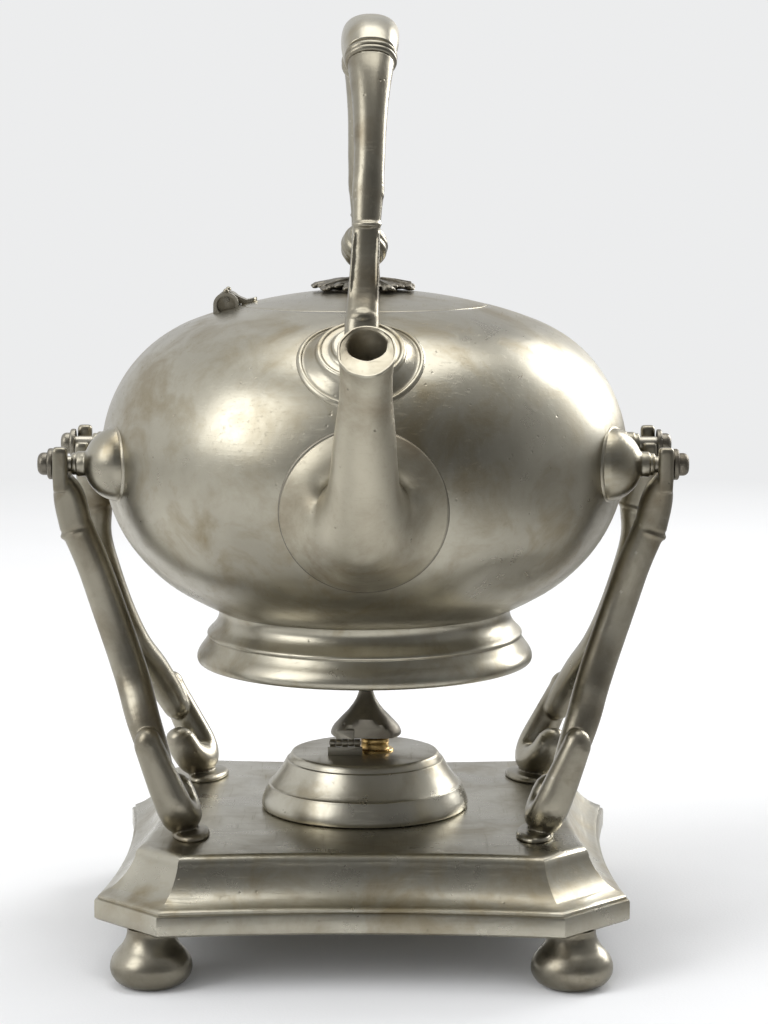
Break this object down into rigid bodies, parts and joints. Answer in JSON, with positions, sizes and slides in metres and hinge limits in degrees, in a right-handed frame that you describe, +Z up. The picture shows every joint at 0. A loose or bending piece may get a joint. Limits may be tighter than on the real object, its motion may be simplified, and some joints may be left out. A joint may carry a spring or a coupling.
{
  "type": "spirit kettle on stand",
  "caption": "Oval kettle with an overhead handle and hinged lid, hung by side spindles in the forks of a footed stand above a small spirit lamp with a hinged snuffer.",
  "frame": {"origin": "on the table, midway between the four bun feet", "axes": "+Z up, -Y towards the spout, +X to the right when the spout faces the viewer; the lid's hinge is at -X"},
  "size_m": [0.2464, 0.2501, 0.3588],
  "materials": {
    "pewter": "worn satin pewter, dull grey with darker tarnish in the hollows",
    "dark_pewter": "darkened satin metal",
    "steel_fixings": "plain turned metal",
    "brass": "aged satin brass",
    "wick": "woven cotton"
  },
  "bodies": {
    "stand": {"base_plinth": "pewter", "bun_foot_front_right": "pewter", "bun_foot_front_left": "pewter", "bun_foot_rear_right": "pewter", "bun_foot_rear_left": "pewter", "foot_nut_front_right": "steel_fixings", "foot_nut_front_left": "steel_fixings", "foot_nut_rear_right": "steel_fixings", "foot_nut_rear_left": "steel_fixings", "leg_front_right": "pewter", "leg_front_left": "pewter", "leg_rear_right": "pewter", "leg_rear_left": "pewter", "leg_screw_front_right": "steel_fixings", "leg_screw_front_left": "steel_fixings", "leg_screw_rear_right": "steel_fixings", "leg_screw_rear_left": "steel_fixings"},
    "kettle": {"kettle_body": "pewter", "kettle_shoulder": "pewter", "foot_ring": "pewter", "spout": "pewter", "handle_grip": "pewter", "lid_hinge_pin": "steel_fixings", "boss_front_right": "pewter", "boss_front_left": "pewter", "boss_rear_right": "pewter", "boss_rear_left": "pewter", "spindle_front_right": "steel_fixings", "spindle_front_left": "steel_fixings", "spindle_rear_right": "steel_fixings", "spindle_rear_left": "steel_fixings", "washer_front_right": "dark_pewter", "washer_front_left": "dark_pewter", "washer_rear_right": "dark_pewter", "washer_rear_left": "dark_pewter", "cap_nut_front_right": "dark_pewter", "cap_nut_front_left": "dark_pewter", "cap_nut_rear_right": "dark_pewter", "cap_nut_rear_left": "dark_pewter", "handle_mount_front": "pewter", "handle_mount_rear": "pewter", "handle_arm_front": "pewter", "handle_arm_rear": "pewter", "lid_hinge_hood_front": "pewter", "lid_hinge_hood_rear": "pewter"},
    "lid": {"lid_disc": "pewter", "lid_flange": "pewter", "lid_rosette": "pewter", "lid_finial": "pewter", "lid_finial_nut": "steel_fixings", "lid_hinge_leaf": "pewter"},
    "lamp": {"lamp_body": "pewter", "lamp_base": "pewter", "lamp_burner": "brass", "lamp_wick": "wick", "snuffer_bracket": "dark_pewter", "snuffer_pin": "steel_fixings"},
    "snuffer": {"snuffer_cap": "pewter", "snuffer_leaf": "dark_pewter", "snuffer_knob": "pewter"}
  },
  "joints": [
    {"name": "kettle_tilt", "type": "hinge", "parent": "stand", "child": "kettle", "pos_m": [0, -0.036, 0.1892], "axis": [1, 0, 0], "range_deg": [0, 65]},
    {"name": "lid_hinge", "type": "hinge", "parent": "kettle", "child": "lid", "pos_m": [-0.0533, 0, 0.24953], "axis": [0, -1, 0], "range_deg": [0, 95]},
    {"name": "lamp_slide", "type": "slide", "parent": "stand", "child": "lamp", "axis": [0, -1, 0], "range_m": [0, 0.035]},
    {"name": "snuffer_hinge", "type": "hinge", "parent": "lamp", "child": "snuffer", "pos_m": [-0.0076, -0.0093, 0.0757], "axis": [1, 0, 0], "range_deg": [0, 100]}
  ]
}
